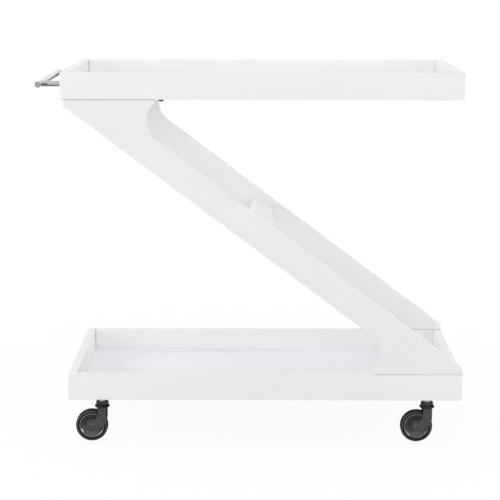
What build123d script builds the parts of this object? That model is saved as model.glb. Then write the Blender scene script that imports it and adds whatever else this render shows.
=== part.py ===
from build123d import *
import os
from math import asin, atan2, cos, degrees, hypot, sin, sqrt

os.makedirs("parts", exist_ok=True)

# A Z-shaped service cart: two lipped trays held one above the other by two slanted side panels,
# with a pull bar on the upper tray and a swivel castor under each corner of the lower one.
# Frame: +Z up from the floor, +X along the trays away from the pull bar, -Y the front.

# Trays: four lacquered boards mitred round a floor board, whose thinner edge sits in a rebate
tray_length = 870.0
tray_depth = 480.0
wall_height = 58.0
wall_board = 18.0
corner_radius = 1.5
edge_radius = 1.2
floor_board = 10.0
floor_rise = 1.5
floor_step = 1.0
rebate_margin = 0.5
floor_clearance = 0.3
corner_kerf = 0.8
corner_kerf_depth = 1.6
tray_gap = 605.0
top_tray_shift = 8.0

# Side panels: a slanted plank with a foot at each end, the same shape turned half round
panel_board = 18.0
panel_inset = 6.0
plank_width = 62.0
end_cut = 14.0
notch_radius = 52.0
notch_height = 45.5
nose_radius = 5.5
seam_kerf = 1.1
seam_kerf_depth = 2.5

# Cross rail between the planks, a little above the middle of the Z
rail_width = 50.0
rail_board = 22.0
rail_rise = 9.0

# Glued dowels
dowel_clearance = 0.05
dowel_end_gap = 0.5
mitre_dowel_diameter = 6.0
mitre_dowel_cover = 1.2
mitre_dowel_heights = (24.0, 44.0)
seam_dowel_diameter = 8.0
seam_dowel_length = 40.0
seam_dowel_places = (110.0, 150.0)
rail_dowel_diameter = 8.0
rail_dowel_in_panel = 10.0
rail_dowel_in_rail = 18.0
rail_dowel_spacing = 28.0

# Upright screws through the seams, driven from below
screw_diameter = 5.0
screw_length = 57.0
screw_grip = 24.0
screw_head_diameter = 8.5
screw_head_height = 3.5
screw_socket = 3.0
screw_socket_depth = 2.0
screw_clearance = 0.05
counterbore_clearance = 0.25
screw_places = (52.0, 82.0)

# Black push-in buttons under the upper tray, just past the panel's nose
button_diameter = 10.0
button_height = 4.0
button_round = 1.0
button_peg_diameter = 6.0
button_peg_length = 8.0
button_gap = 10.0
button_clearance = 0.05

# Pull bar
bar_diameter = 14.0
bar_length = 400.0
bar_end_round = 1.0
handle_reach = 52.0
post_diameter = 12.0
post_spacing = 340.0
spigot_diameter = 7.0
spigot_depth = 5.0
handle_clearance = 0.05
handle_screw_diameter = 5.0
handle_screw_bite = 14.0
handle_screw_hole_gap = 0.25
handle_head_diameter = 9.5
handle_head_height = 3.2
handle_head_round = 1.2

# Castor wheel
wheel_diameter = 71.5
wheel_width = 21.0
tyre_depth = 7.75
tyre_shoulder = 4.0
tyre_bevel = 0.8
bond_line = 0.05
rim_depth = 2.8
rim_inset = 1.0
rim_slope = 1.6
web_rim_half = 7.0
web_hub_half = 5.4
web_hub_gap = 4.5
hub_radius = 9.5
hub_proud = 0.7
core_round = 0.9
bush_diameter = 12.0
bush_gap = 0.3
running_clearance = 0.05

# Castor fork, axle and swivel
castor_shift = -1.3
castor_inset_x = 71.6
castor_inset_y = 50.0
castor_trail = 23.4
side_clearance = 1.2
arm_board = 3.3
arm_round = 0.9
arm_hub_radius = 11.5
neck_width = 21.3
back_drop = 22.0
front_drop = 14.5
axle_diameter = 8.0
axle_head_diameter = 9.8
axle_head_height = 1.3
axle_head_round = 0.5
axle_bore_diameter = 4.4
axle_bore_depth = 9.0
crown_clearance = 1.0
crown_height = 4.9
flange_diameter = 33.1
flange_height = 5.0
flange_round = 1.6
race_gap = 1.5
ball_diameter = 3.0
ball_count = 10
ball_circle_radius = 8.3
ball_clearance = 0.1
cup_diameter = 27.6
cup_height = 6.7
cup_round = 1.5
stem_diameter = 10.0
stem_exposed = 16.6
stem_collar_diameter = 14.0
stem_collar_height = 1.5
stem_shoulder = 1.0
stem_thread_gap = 0.5
rivet_diameter = 14.0
rivet_height = 2.7
rivet_clearance = 0.2
rivet_side_gap = 0.6
insert_wall = 2.0
insert_cover = 1.5
nut_across_flats = 17.0
nut_height = 6.0

# Heights, stacked up from the floor
axle_z = wheel_diameter / 2
crown_under = wheel_diameter + crown_clearance
crown_top = crown_under + crown_height
flange_top = crown_top + flange_height
cup_under = flange_top + race_gap
cup_top = cup_under + cup_height
floor_under = cup_top + stem_exposed
bottom_base = floor_under - floor_rise
bottom_rim = bottom_base + wall_height
top_base = bottom_rim + tray_gap
panel_mid_z = (bottom_rim + top_base) / 2
handle_z = top_base + wall_height / 2

# Places along X, centred on the whole length including the pull bar
overall_length = tray_length + top_tray_shift + handle_reach + bar_diameter / 2
bottom_x = overall_length / 2 - tray_length / 2
castor_x = bottom_x + castor_shift
top_x = bottom_x - top_tray_shift
top_left_end = top_x - tray_length / 2
panel_length = tray_length + top_tray_shift - panel_inset
panel_x = overall_length / 2 - panel_length / 2
panel_left_end = panel_x - panel_length / 2
panel_right_end = panel_x + panel_length / 2
handle_x = top_left_end - handle_reach

# Places along Y
panel_centre_y = tray_depth / 2 - panel_board / 2
panel_inner_y = tray_depth / 2 - panel_board
wall_centre_y = tray_depth / 2 - wall_board / 2

# The rebate leaves a lip thick enough to hold the widest hole in the seam, the mitre dowels are as long
# as the walls can cover, and each castor's thread and insert follow its stem
counterbore_diameter = screw_head_diameter + 2 * counterbore_clearance
seam_hole_diameter = seam_dowel_diameter + 2 * dowel_clearance
rebate_lip = panel_board / 2 + max(counterbore_diameter, seam_hole_diameter) / 2 + rebate_margin
mitre_hole_diameter = mitre_dowel_diameter + 2 * dowel_clearance
mitre_hole_length = sqrt(2) * (wall_board - 2 * mitre_dowel_cover) - mitre_hole_diameter
mitre_dowel_length = mitre_hole_length - 2 * dowel_end_gap
stem_thread_diameter = stem_diameter - 2 * stem_shoulder
insert_diameter = stem_thread_diameter + 2 * insert_wall
insert_length = floor_board - insert_cover
stem_thread_length = insert_length - stem_thread_gap

# Slant of the plank: its lower edge runs from the end cut and is tangent to a circle of half its width
half_rise = tray_gap / 2 - end_cut
slant = atan2(half_rise, panel_length / 2) + asin(plank_width / 2 / hypot(panel_length / 2, half_rise))
down_slant = Vector(cos(slant), 0, -sin(slant))
rail_centre = Vector(panel_x, 0, panel_mid_z) - down_slant * rail_rise
rail_plane = Plane(rail_centre, x_dir=down_slant, z_dir=(0, 1, 0))

# Side panel outline, in the panel's own plane with its centre at the middle of the Z.
# The notch circle is tangent to the plank, and the nose is a small round between it and the seam.
notch_y = tray_gap / 2 - notch_height
notch_x = (plank_width / 2 + notch_radius - notch_y * cos(slant)) / sin(slant)
nose_y = tray_gap / 2 - nose_radius
nose_x = notch_x - sqrt((notch_radius + nose_radius) ** 2 - (notch_height - nose_radius) ** 2)
notch_centre = Vector(notch_x, notch_y)
nose_centre = Vector(nose_x, nose_y)
toward_notch = (notch_centre - nose_centre).normalized()
end_corner = Vector(-panel_length / 2, tray_gap / 2)
seam_end = Vector(nose_x, tray_gap / 2)
nose_tip = nose_centre + (toward_notch + Vector(0, 1)).normalized() * nose_radius
notch_start = nose_centre + toward_notch * nose_radius
notch_waist = notch_centre - Vector(notch_radius, 0)
notch_end = notch_centre - Vector(sin(slant), cos(slant)) * notch_radius
cut_corner = Vector(panel_length / 2, end_cut - tray_gap / 2)
button_x = panel_x + nose_x + nose_radius + button_gap + button_diameter / 2


def save(piece, name):
    """Labels a finished piece and writes its file."""
    piece.label = name
    export_step(piece, f"parts/{name}.step")


def rod(plane, diameter, length, mode=Mode.ADD):
    """A round rod from a plane along its normal, added to or cut from the part being built."""
    with BuildSketch(plane) as section:
        Circle(diameter / 2)
    extrude(section.sketch, amount=length, mode=mode)


def upright(x, y, z):
    """A plane at a point, facing up."""
    return Plane((x, y, z), z_dir=(0, 0, 1))


def tray_corners(centre_x, inset):
    """The sides and the point of each corner of a tray, set in from both outer faces."""
    for side_x in (-1, 1):
        for side_y in (-1, 1):
            x = centre_x + side_x * (tray_length / 2 - inset)
            y = side_y * (tray_depth / 2 - inset)
            yield side_x, side_y, x, y


def mitre_planes(centre_x, base):
    """Planes at the middle of each mitre dowel, square to its mitre."""
    for side_x, side_y, x, y in tray_corners(centre_x, wall_board / 2):
        for height in mitre_dowel_heights:
            yield Plane((x, y, base + height), z_dir=(side_x, -side_y, 0))


def seam_places(places, upper):
    """Points on the seam between the panels and a tray, measured in from the panels' ends."""
    for place in places:
        x = panel_left_end + place if upper else panel_right_end - place
        for side in (-1, 1):
            yield x, side * panel_centre_y


def tray_frame(centre_x, base, holes):
    """The four walls of a tray as one ring, with rebate, eased edges, open joint lines and holes."""
    with BuildPart() as ring:
        with BuildSketch(Plane.XY.offset(base)):
            with Locations((centre_x, 0)):
                RectangleRounded(tray_length, tray_depth, corner_radius)
                Rectangle(tray_length - 2 * wall_board, tray_depth - 2 * wall_board, mode=Mode.SUBTRACT)
        extrude(amount=wall_height)
        rim = ring.faces().sort_by(Axis.Z)[-1].edges()
        foot = ring.faces().sort_by(Axis.Z)[0].outer_wire().edges()
        fillet(rim + foot, edge_radius)
        with BuildSketch(Plane.XY.offset(base)):
            with Locations((centre_x, 0)):
                Rectangle(tray_length - 2 * rebate_lip, tray_depth - 2 * rebate_lip)
        extrude(amount=floor_rise + floor_board - floor_step, mode=Mode.SUBTRACT)
        for side_x, side_y, x, y in tray_corners(centre_x, wall_board):
            with BuildSketch(Plane((x, y, base), x_dir=(side_x, side_y, 0), z_dir=(0, 0, 1))):
                Rectangle(2 * corner_kerf_depth, corner_kerf)
            extrude(amount=wall_height, mode=Mode.SUBTRACT)
        for plane in mitre_planes(centre_x, base):
            rod(plane.offset(-mitre_hole_length / 2), mitre_hole_diameter, mitre_hole_length, Mode.SUBTRACT)
        for plane, diameter, depth in holes:
            rod(plane, diameter, depth, Mode.SUBTRACT)
    return ring


def save_walls(ring, tray, centre_x, base):
    """Cuts a ring along its mitres into the front, back, left and right walls."""
    reach = 2 * wall_board
    far_x, far_y = tray_length / 2 + reach, tray_depth / 2 + reach
    near_x, near_y = tray_length / 2 - reach, tray_depth / 2 - reach
    wedges = {
        "front": [(-far_x, -far_y), (far_x, -far_y), (near_x, -near_y), (-near_x, -near_y)],
        "back": [(-far_x, far_y), (-near_x, near_y), (near_x, near_y), (far_x, far_y)],
        "left": [(-far_x, -far_y), (-near_x, -near_y), (-near_x, near_y), (-far_x, far_y)],
        "right": [(far_x, -far_y), (far_x, far_y), (near_x, near_y), (near_x, -near_y)],
    }
    for side, corners in wedges.items():
        with BuildPart() as wall:
            add(ring.part)
            with BuildSketch(Plane.XY.offset(base)):
                with Locations((centre_x, 0)):
                    Polygon(*corners, align=None)
            extrude(amount=wall_height, mode=Mode.INTERSECT)
        save(wall.part, f"{tray}_{side}_wall")


# Upper tray: holes for the seam dowels, screws and buttons from below, and the pull bar's screws
top_holes = []
for x, y in seam_places(seam_dowel_places, upper=True):
    top_holes.append((upright(x, y, top_base), seam_hole_diameter, seam_dowel_length / 2 + dowel_end_gap))
for x, y in seam_places(screw_places, upper=True):
    top_holes.append((upright(x, y, top_base), screw_diameter + 2 * screw_clearance,
                      screw_length - screw_grip + dowel_end_gap))
for side in (-1, 1):
    peg_plane = upright(button_x, side * wall_centre_y, top_base)
    top_holes.append((peg_plane, button_peg_diameter + 2 * button_clearance,
                      button_peg_length + dowel_end_gap))
    post_plane = Plane((top_left_end, side * post_spacing / 2, handle_z), z_dir=(1, 0, 0))
    top_holes.append((post_plane, handle_screw_diameter + 2 * handle_screw_hole_gap, wall_board))
top_ring = tray_frame(top_x, top_base, top_holes)
save_walls(top_ring, "top", top_x, top_base)

# Lower tray: holes for the seam dowels from above, and counterbored screw holes from below
bottom_holes = []
for x, y in seam_places(seam_dowel_places, upper=False):
    bottom_holes.append((Plane((x, y, bottom_rim), z_dir=(0, 0, -1)), seam_hole_diameter,
                         seam_dowel_length / 2 + dowel_end_gap))
for x, y in seam_places(screw_places, upper=False):
    bottom_holes.append((upright(x, y, bottom_base), screw_diameter + 2 * screw_clearance, wall_height))
    bottom_holes.append((upright(x, y, bottom_base), counterbore_diameter, wall_height - screw_grip))
bottom_ring = tray_frame(bottom_x, bottom_base, bottom_holes)
save_walls(bottom_ring, "bottom", bottom_x, bottom_base)


def floor_sheet(centre_x, base):
    """A tray's floor board: its thinner edge is let up into the rebate, and its middle fills the walls."""
    with BuildPart() as sheet:
        for edge, thickness in ((rebate_lip, floor_board - floor_step), (wall_board, floor_board)):
            inset = edge + floor_clearance
            with BuildSketch(Plane.XY.offset(base + floor_rise)):
                with Locations((centre_x, 0)):
                    Rectangle(tray_length - 2 * inset, tray_depth - 2 * inset)
            extrude(amount=thickness)
    return sheet


top_floor = floor_sheet(top_x, top_base)
save(top_floor.part, "top_floor")

castor_spread_x = tray_length - 2 * castor_inset_x
castor_spread_y = tray_depth - 2 * castor_inset_y
with BuildPart() as bottom_floor:
    add(floor_sheet(bottom_x, bottom_base).part)
    with BuildSketch(Plane.XY.offset(floor_under)):
        with Locations((castor_x, 0)):
            with GridLocations(castor_spread_x, castor_spread_y, 2, 2):
                Circle(insert_diameter / 2 + dowel_clearance)
    extrude(amount=insert_length, mode=Mode.SUBTRACT)
save(bottom_floor.part, "bottom_floor")


def corner_dowels(centre_x, base):
    """The dowels across a tray's four mitres."""
    with BuildPart() as dowels:
        for plane in mitre_planes(centre_x, base):
            rod(plane.offset(-mitre_dowel_length / 2), mitre_dowel_diameter, mitre_dowel_length)
    return dowels


top_corner_dowels = corner_dowels(top_x, top_base)
save(top_corner_dowels.part, "top_corner_dowels")

bottom_corner_dowels = corner_dowels(bottom_x, bottom_base)
save(bottom_corner_dowels.part, "bottom_corner_dowels")


def side_panel(outer_y, side):
    """A slanted side panel, flush with the trays' outer faces, with open joint lines and its holes."""
    front_y = outer_y if side < 0 else outer_y - panel_board
    plane = Plane((panel_x, front_y + panel_board, panel_mid_z), x_dir=(1, 0, 0), z_dir=(0, -1, 0))
    with BuildPart() as panel:
        with BuildSketch(plane):
            with BuildLine():
                for turn in (1, -1):
                    Line(end_corner * turn, seam_end * turn)
                    ThreePointArc(seam_end * turn, nose_tip * turn, notch_start * turn)
                    ThreePointArc(notch_start * turn, notch_waist * turn, notch_end * turn)
                    Line(notch_end * turn, cut_corner * turn)
                    Line(cut_corner * turn, end_corner * -turn)
            make_face()
        extrude(amount=panel_board)
        faces = panel.faces().filter_by(Axis.Y).sort_by(Axis.Y)
        fillet(faces[0].edges() + faces[-1].edges(), edge_radius)
        for upper, seam_z, toward in ((True, top_base, -1), (False, bottom_rim, 1)):
            with BuildSketch(Plane((panel_x, side * panel_centre_y, seam_z), z_dir=(0, 0, toward))):
                with GridLocations(0, panel_board, 1, 2):
                    Rectangle(2 * panel_length, 2 * seam_kerf_depth)
            extrude(amount=seam_kerf, mode=Mode.SUBTRACT)
            for x, y in seam_places(seam_dowel_places, upper):
                if y * side > 0:
                    rod(Plane((x, y, seam_z), z_dir=(0, 0, toward)), seam_hole_diameter,
                        seam_dowel_length / 2 + dowel_end_gap, Mode.SUBTRACT)
        for x, y in seam_places(screw_places, upper=True):
            if y * side > 0:
                rod(upright(x, y, top_base - screw_grip), screw_diameter + 2 * screw_clearance,
                    screw_grip, Mode.SUBTRACT)
                rod(Plane((x, y, top_base - screw_grip), z_dir=(0, 0, -1)),
                    counterbore_diameter, tray_gap / 2, Mode.SUBTRACT)
        for x, y in seam_places(screw_places, upper=False):
            if y * side > 0:
                rod(upright(x, y, bottom_rim), screw_diameter + 2 * screw_clearance,
                    screw_length - screw_grip + dowel_end_gap, Mode.SUBTRACT)
        for offset in (-rail_dowel_spacing / 2, rail_dowel_spacing / 2):
            start = rail_plane.from_local_coords(Vector(offset, 0, side * panel_inner_y))
            rod(Plane(start, z_dir=(0, side, 0)), rail_dowel_diameter + 2 * dowel_clearance,
                rail_dowel_in_panel + dowel_end_gap, Mode.SUBTRACT)
    return panel


front_panel = side_panel(-tray_depth / 2, -1)
save(front_panel.part, "front_panel")

rear_panel = side_panel(tray_depth / 2, 1)
save(rear_panel.part, "rear_panel")

# Cross rail, laid along the slant between the panels
with BuildPart() as cross_rail:
    with BuildSketch(rail_plane.offset(-panel_inner_y)):
        RectangleRounded(rail_width, rail_board, edge_radius)
    extrude(amount=2 * panel_inner_y)
    for side in (-1, 1):
        for offset in (-rail_dowel_spacing / 2, rail_dowel_spacing / 2):
            start = rail_plane.from_local_coords(Vector(offset, 0, side * panel_inner_y))
            rod(Plane(start, z_dir=(0, -side, 0)), rail_dowel_diameter + 2 * dowel_clearance,
                rail_dowel_in_rail + dowel_end_gap, Mode.SUBTRACT)
save(cross_rail.part, "cross_rail")

with BuildPart() as rail_dowels:
    for side in (-1, 1):
        for offset in (-rail_dowel_spacing / 2, rail_dowel_spacing / 2):
            start = rail_plane.from_local_coords(
                Vector(offset, 0, side * (panel_inner_y - rail_dowel_in_rail)))
            rod(Plane(start, z_dir=(0, side, 0)), rail_dowel_diameter,
                rail_dowel_in_rail + rail_dowel_in_panel)
save(rail_dowels.part, "rail_dowels")

with BuildPart() as panel_dowels:
    for upper, seam_z in ((True, top_base), (False, bottom_rim)):
        for x, y in seam_places(seam_dowel_places, upper):
            rod(upright(x, y, seam_z - seam_dowel_length / 2), seam_dowel_diameter, seam_dowel_length)
save(panel_dowels.part, "panel_dowels")


def seam_screws(seam_z, upper):
    """Screws driven up across a seam, each seated on the floor of its counterbore."""
    with BuildPart() as screws:
        for x, y in seam_places(screw_places, upper):
            seat = seam_z - screw_grip
            rod(upright(x, y, seat), screw_diameter, screw_length)
            rod(upright(x, y, seat - screw_head_height), screw_head_diameter, screw_head_height)
            with BuildSketch(upright(x, y, seat - screw_head_height)):
                RegularPolygon(screw_socket / 2, 6, major_radius=False)
            extrude(amount=screw_socket_depth, mode=Mode.SUBTRACT)
    return screws


top_screws = seam_screws(top_base, upper=True)
save(top_screws.part, "top_panel_screws")

bottom_screws = seam_screws(bottom_rim, upper=False)
save(bottom_screws.part, "bottom_panel_screws")

# Push-in buttons: a low black button with a peg that goes up into the wall's lower edge
with BuildPart() as buttons:
    for side in (-1, 1):
        seat = upright(button_x, side * wall_centre_y, top_base)
        rod(seat.offset(-button_height), button_diameter, button_height)
    fillet(buttons.edges().group_by(Axis.Z)[0], button_round)
    for side in (-1, 1):
        seat = upright(button_x, side * wall_centre_y, top_base)
        rod(seat, button_peg_diameter, button_peg_length)
save(buttons.part, "push_in_buttons")

# Pull bar: a round bar, two posts saddled to it, and a screw into each post from inside the tray
with BuildPart() as handle_bar:
    rod(Plane((handle_x, -bar_length / 2, handle_z), z_dir=(0, 1, 0)), bar_diameter, bar_length)
    fillet(handle_bar.edges().filter_by(GeomType.CIRCLE), bar_end_round)
    for side in (-1, 1):
        post_axis = Plane((handle_x, side * post_spacing / 2, handle_z), z_dir=(1, 0, 0))
        rod(post_axis.offset(bar_diameter / 2 - spigot_depth - dowel_end_gap),
            spigot_diameter + 2 * handle_clearance, spigot_depth + dowel_end_gap, Mode.SUBTRACT)
save(handle_bar.part, "handle_bar")

for side, name in ((-1, "front"), (1, "rear")):
    post_axis = Plane((handle_x, side * post_spacing / 2, handle_z), z_dir=(1, 0, 0))
    with BuildPart() as post:
        rod(post_axis, post_diameter, handle_reach)
        rod(Plane((handle_x, side * post_spacing / 2 - post_diameter, handle_z), z_dir=(0, 1, 0)),
            bar_diameter + 2 * handle_clearance, 2 * post_diameter, Mode.SUBTRACT)
        rod(post_axis.offset(bar_diameter / 2 - spigot_depth), spigot_diameter,
            spigot_depth + handle_clearance)
        rod(post_axis.offset(handle_reach - handle_screw_bite - dowel_end_gap),
            handle_screw_diameter + 2 * handle_clearance,
            handle_screw_bite + dowel_end_gap, Mode.SUBTRACT)
    save(post.part, f"handle_post_{name}")

with BuildPart() as handle_screws:
    for side in (-1, 1):
        wall_inside = Plane((top_left_end + wall_board, side * post_spacing / 2, handle_z),
                            z_dir=(-1, 0, 0))
        rod(wall_inside, handle_screw_diameter, wall_board + handle_screw_bite)
        rod(wall_inside.offset(-handle_head_height), handle_head_diameter, handle_head_height)
        with BuildSketch(wall_inside.offset(-handle_head_height)):
            RegularPolygon(screw_socket / 2, 6, major_radius=False)
        extrude(amount=screw_socket_depth, mode=Mode.SUBTRACT)
    fillet(handle_screws.edges().filter_by(GeomType.CIRCLE).group_by(Axis.X)[-1], handle_head_round)
save(handle_screws.part, "handle_screws")

# Threaded inserts in the lower floor board and a lock nut on each castor stem
with BuildPart() as inserts:
    with BuildSketch(Plane.XY.offset(floor_under)):
        with Locations((castor_x, 0)):
            with GridLocations(castor_spread_x, castor_spread_y, 2, 2):
                Circle(insert_diameter / 2)
                Circle(stem_thread_diameter / 2 + screw_clearance, mode=Mode.SUBTRACT)
    extrude(amount=insert_length)
save(inserts.part, "castor_inserts")

with BuildPart() as nuts:
    with BuildSketch(Plane.XY.offset(floor_under - nut_height)):
        with Locations((castor_x, 0)):
            with GridLocations(castor_spread_x, castor_spread_y, 2, 2):
                RegularPolygon(nut_across_flats / 2, 6, major_radius=False)
                Circle(stem_diameter / 2 + screw_clearance, mode=Mode.SUBTRACT)
    extrude(amount=nut_height)
save(nuts.part, "castor_nuts")

# One castor, with its swivel axis on Z and its wheel trailing toward -X
arm_outer_y = wheel_width / 2 + side_clearance + arm_board
arm_inner_y = wheel_width / 2 + side_clearance
hub_centre = Vector(-castor_trail, axle_z)
hub_axis = Plane((-castor_trail, 0, axle_z), z_dir=(0, 1, 0))
race_z = (flange_top + cup_under) / 2

# Stem: rivet head below the crown, kingpin, collar on the cup, then the thread
with BuildPart() as stem:
    rod(upright(0, 0, crown_under + rivet_clearance), rivet_diameter, rivet_height)
    rod(upright(0, 0, crown_under + rivet_clearance), stem_diameter,
        floor_under - crown_under - rivet_clearance)
    rod(upright(0, 0, cup_top), stem_collar_diameter, stem_collar_height)
    rod(upright(0, 0, floor_under), stem_thread_diameter, stem_thread_length)


def race_groove():
    """Cuts the round ball track about the swivel axis from the part being built."""
    with BuildSketch(Plane.XZ) as track:
        with Locations((ball_circle_radius, race_z)):
            Circle(ball_diameter / 2 + ball_clearance)
    revolve(track.sketch, axis=Axis.Z, mode=Mode.SUBTRACT)


# Cup: the fixed upper half of the ball race
with BuildPart() as cup:
    rod(upright(0, 0, cup_under), cup_diameter, cup_height)
    fillet(cup.edges().sort_by(Axis.Z)[-1], cup_round)
    rod(upright(0, 0, cup_under), stem_diameter + 2 * running_clearance, cup_height, Mode.SUBTRACT)
    race_groove()

with BuildPart() as balls:
    with Locations((0, 0, race_z)):
        with PolarLocations(ball_circle_radius, ball_count):
            Sphere(ball_diameter / 2)


# Fork: two comma-shaped arms joined only by a crown, under a round flange that carries the lower race.
# The long back arc starts straight down from the neck and closes round the hub end from outside it.
# The short front arc starts straight down too and meets the hub end from outside the arm.
back_bend = Vector(neck_width / 2, crown_top - back_drop)
front_bend = Vector(-neck_width / 2, crown_top - front_drop)
to_back = back_bend - hub_centre
to_front = hub_centre - front_bend
back_arc_radius = (to_back.length ** 2 - arm_hub_radius ** 2) / (2 * (to_back.X - arm_hub_radius))
front_arc_radius = (to_front.length ** 2 - arm_hub_radius ** 2) / (2 * (arm_hub_radius - to_front.X))
back_arc_centre = back_bend - Vector(back_arc_radius, 0)
front_arc_centre = front_bend - Vector(front_arc_radius, 0)
back_direction = (hub_centre - back_arc_centre).normalized()
front_direction = (front_arc_centre - hub_centre).normalized()
hub_low = hub_centre + back_direction * arm_hub_radius
hub_high = hub_centre + front_direction * arm_hub_radius
hub_far = hub_centre + (back_direction + front_direction - Vector(1, 0)).normalized() * arm_hub_radius
with BuildPart() as fork:
    with BuildSketch(Plane.XZ.offset(-arm_outer_y)):
        with BuildLine():
            Polyline(front_bend, (-neck_width / 2, crown_top), (neck_width / 2, crown_top), back_bend)
            TangentArc(back_bend, hub_low, tangent=(0, -1))
            ThreePointArc(hub_low, hub_far, hub_high)
            TangentArc(front_bend, hub_high, tangent=(0, -1))
        make_face()
    extrude(amount=2 * arm_outer_y)
    sides = fork.faces().filter_by(Axis.Y).sort_by(Axis.Y)
    side_edges = sides[0].edges() + sides[-1].edges()
    fillet(side_edges.filter_by(lambda edge: edge.center().Z < crown_top - arm_round), arm_round)
    Box(2 * wheel_diameter, 2 * arm_inner_y, 2 * crown_under, mode=Mode.SUBTRACT)
    with BuildSketch(Plane.XZ) as flange_section:
        with Locations((flange_diameter / 4, crown_top + flange_height / 2)):
            Rectangle(flange_diameter / 2, flange_height)
        fillet(flange_section.vertices().group_by(Axis.X)[-1], flange_round)
    revolve(axis=Axis.Z)
    rod(upright(0, 0, crown_under), stem_diameter + 2 * running_clearance, flange_top - crown_under,
        Mode.SUBTRACT)
    rod(upright(0, 0, axle_z), rivet_diameter + 2 * rivet_side_gap,
        crown_under + rivet_height + 2 * rivet_clearance - axle_z, Mode.SUBTRACT)
    race_groove()
    rod(hub_axis.offset(-arm_outer_y), axle_diameter + 2 * running_clearance, 2 * arm_outer_y,
        Mode.SUBTRACT)

# Axle: a rivet with a low head at each end and a blind bore in it
with BuildPart() as axle:
    rod(hub_axis.offset(-arm_outer_y), axle_diameter, 2 * arm_outer_y)
    for side in (-1, 1):
        end = Plane((-castor_trail, side * arm_outer_y, axle_z), z_dir=(0, side, 0))
        rod(end, axle_head_diameter, axle_head_height)
    outer_rims = axle.faces().filter_by(Axis.Y).sort_by(Axis.Y)
    fillet(outer_rims[0].edges() + outer_rims[-1].edges(), axle_head_round)
    for side in (-1, 1):
        end = Plane((-castor_trail, side * (arm_outer_y + axle_head_height), axle_z), z_dir=(0, -side, 0))
        rod(end, axle_bore_diameter, axle_bore_depth, Mode.SUBTRACT)

# Wheel profiles are drawn above the axle, with X across the wheel, and turned about it
tread_radius = wheel_diameter / 2
seat_radius = tread_radius - tyre_depth
core_radius = seat_radius - bond_line
rim_radius = core_radius - rim_depth
rim_half = wheel_width / 2 - rim_inset
hub_half = wheel_width / 2 + hub_proud
web_radius = hub_radius + web_hub_gap
wheel_plane = Plane((-castor_trail, 0, axle_z), x_dir=(0, 1, 0), z_dir=(1, 0, 0))
wheel_axis = Axis((-castor_trail, 0, axle_z), (0, 1, 0))

with BuildPart() as tyre:
    with BuildSketch(wheel_plane) as tyre_section:
        with Locations((0, (tread_radius + seat_radius) / 2)):
            Rectangle(wheel_width, tyre_depth)
        corners = tyre_section.vertices().group_by(Axis.Y)
        fillet(corners[-1], tyre_shoulder)
        chamfer(corners[0], tyre_bevel)
    revolve(axis=wheel_axis)

with BuildPart() as wheel_core:
    with BuildSketch(wheel_plane) as core_section:
        with BuildLine():
            for side in (1, -1):
                Polyline((0, core_radius), (side * rim_half, core_radius), (side * rim_half, rim_radius),
                         (side * web_rim_half, rim_radius - rim_slope), (side * web_hub_half, web_radius),
                         (side * hub_half, hub_radius), (side * hub_half, bush_diameter / 2 + bond_line),
                         (0, bush_diameter / 2 + bond_line))
        make_face()
        shaped = core_section.vertices().group_by(Axis.Y)
        fillet([corner for ring in shaped[1:-1] for corner in ring], core_round)
    revolve(axis=wheel_axis)

with BuildPart() as wheel_bush:
    with BuildSketch(hub_axis.offset(bush_gap - arm_inner_y)):
        Circle(bush_diameter / 2)
        Circle(axle_diameter / 2 + running_clearance, mode=Mode.SUBTRACT)
    extrude(amount=2 * (arm_inner_y - bush_gap))

castor_pieces = {
    "castor_stem": stem,
    "castor_cup": cup,
    "castor_balls": balls,
    "castor_fork": fork,
    "castor_axle": axle,
    "wheel_core": wheel_core,
    "tyre": tyre,
    "wheel_bush": wheel_bush,
}
for row, side_y in (("front", -1), ("rear", 1)):
    for column, side_x in (("left", -1), ("right", 1)):
        place = (castor_x + side_x * castor_spread_x / 2, side_y * castor_spread_y / 2)
        for piece_name, piece in castor_pieces.items():
            with BuildPart() as placed:
                with Locations(place):
                    add(piece.part)
            save(placed.part, f"{row}_{column}_{piece_name}")

print("slant", round(degrees(slant), 2), "overall", overall_length, tray_depth, top_base + wall_height)
print("lower tray base", bottom_base, "upper tray base", top_base, "bar axis", handle_x, handle_z)
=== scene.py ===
from functools import partial
from math import atan2, pi, radians, sqrt

import bmesh
import bpy
import numpy as np
from mathutils import Matrix, Vector


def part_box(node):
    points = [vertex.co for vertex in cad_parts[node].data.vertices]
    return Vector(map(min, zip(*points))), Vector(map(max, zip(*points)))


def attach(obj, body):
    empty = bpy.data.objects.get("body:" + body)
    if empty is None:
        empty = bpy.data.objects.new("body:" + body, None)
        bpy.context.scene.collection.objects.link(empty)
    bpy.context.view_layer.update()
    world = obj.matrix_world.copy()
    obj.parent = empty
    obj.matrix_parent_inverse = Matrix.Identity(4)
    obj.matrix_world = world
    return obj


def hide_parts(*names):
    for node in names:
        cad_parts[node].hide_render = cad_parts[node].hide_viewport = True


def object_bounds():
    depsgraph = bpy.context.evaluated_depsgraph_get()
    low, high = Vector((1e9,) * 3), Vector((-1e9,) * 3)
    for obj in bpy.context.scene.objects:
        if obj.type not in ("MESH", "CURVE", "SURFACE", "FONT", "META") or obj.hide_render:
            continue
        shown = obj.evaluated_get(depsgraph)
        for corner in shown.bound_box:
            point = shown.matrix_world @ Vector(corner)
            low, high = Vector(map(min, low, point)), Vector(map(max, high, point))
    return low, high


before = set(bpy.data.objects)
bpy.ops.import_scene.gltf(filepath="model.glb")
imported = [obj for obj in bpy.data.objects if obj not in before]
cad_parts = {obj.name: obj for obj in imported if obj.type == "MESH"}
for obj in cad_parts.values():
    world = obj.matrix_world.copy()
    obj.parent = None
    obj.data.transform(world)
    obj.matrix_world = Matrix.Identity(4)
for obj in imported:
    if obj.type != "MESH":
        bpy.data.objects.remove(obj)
cad_low, cad_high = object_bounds()

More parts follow.
